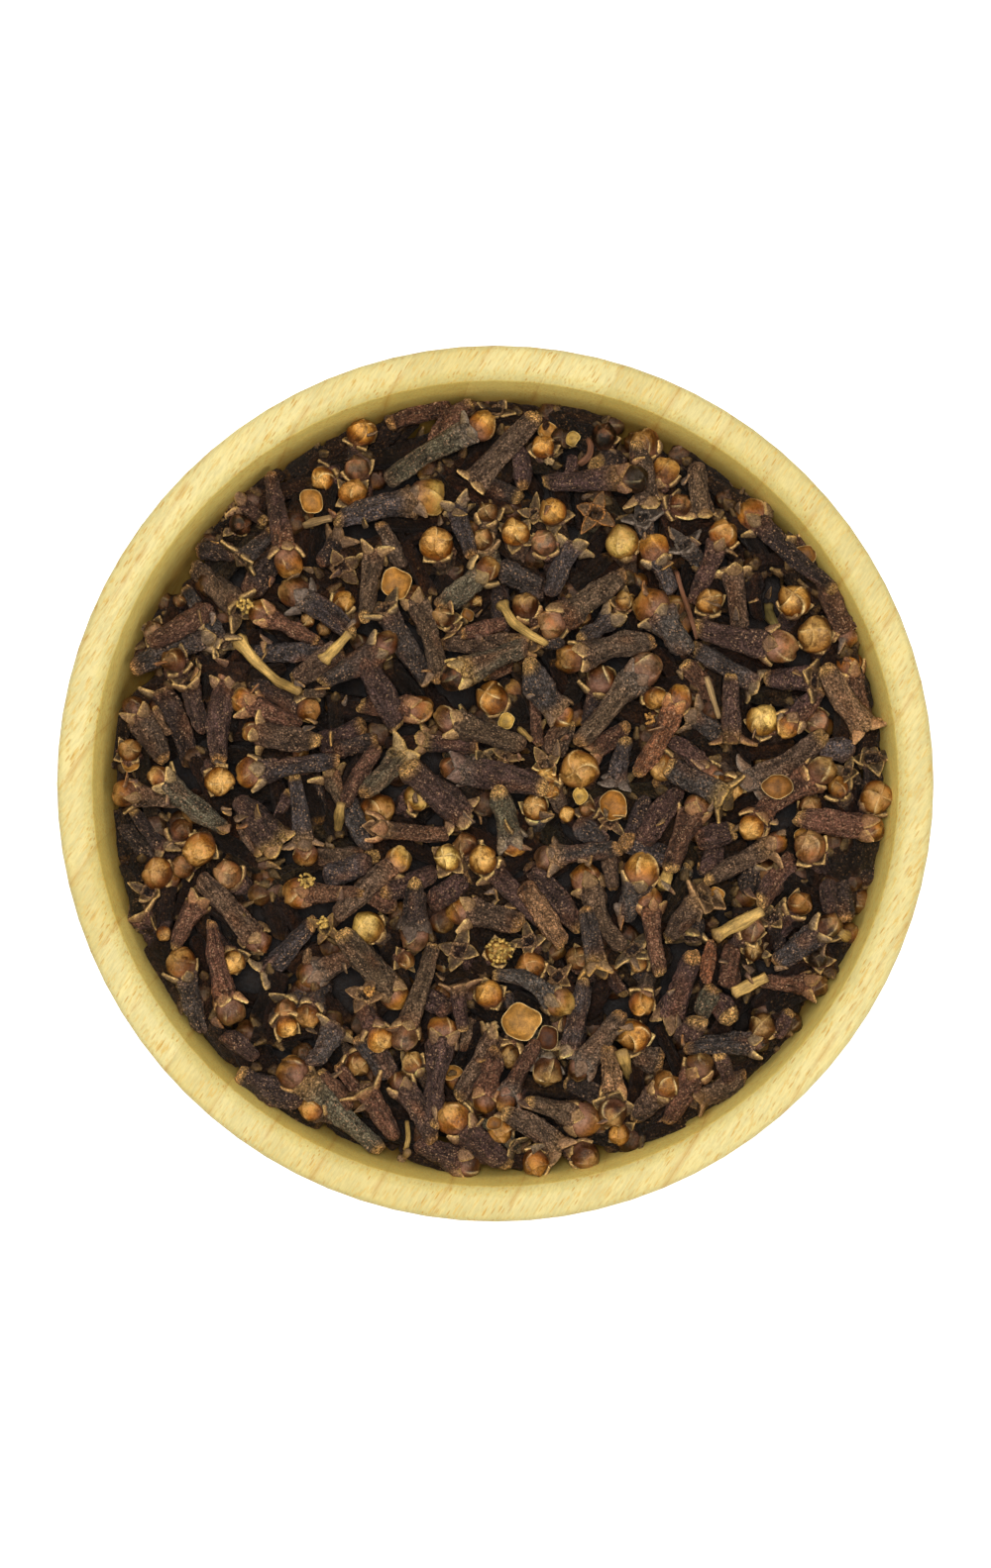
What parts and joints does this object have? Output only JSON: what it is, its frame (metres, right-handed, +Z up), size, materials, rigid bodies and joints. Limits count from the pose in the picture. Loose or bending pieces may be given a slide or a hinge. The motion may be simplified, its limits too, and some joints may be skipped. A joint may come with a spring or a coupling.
{
  "type": "bowl of whole cloves",
  "caption": "Small round turned bamboo bowl with an upright wall and flat foot, filled with a loose heap of whole dried cloves to just below its lip.",
  "frame": {"origin": "centre of the underside of the bowl's flat foot", "axes": "+Z up, along the bowl's axis; +Y is the way to the top of the picture seen from above, +X to its right"},
  "size_m": [0.126, 0.126, 0.058],
  "materials": {
    "bamboo": "smooth oiled bamboo, satin, laminated from strips about 9 mm wide with fine orange-brown fibre marks",
    "cloves": "dry matt dark brown whole cloves with ochre to rust-coloured buds and pale cut stem ends"
  },
  "bodies": {
    "root": {"bowl": "bamboo", "cloves": "cloves"}
  },
  "joints": []
}
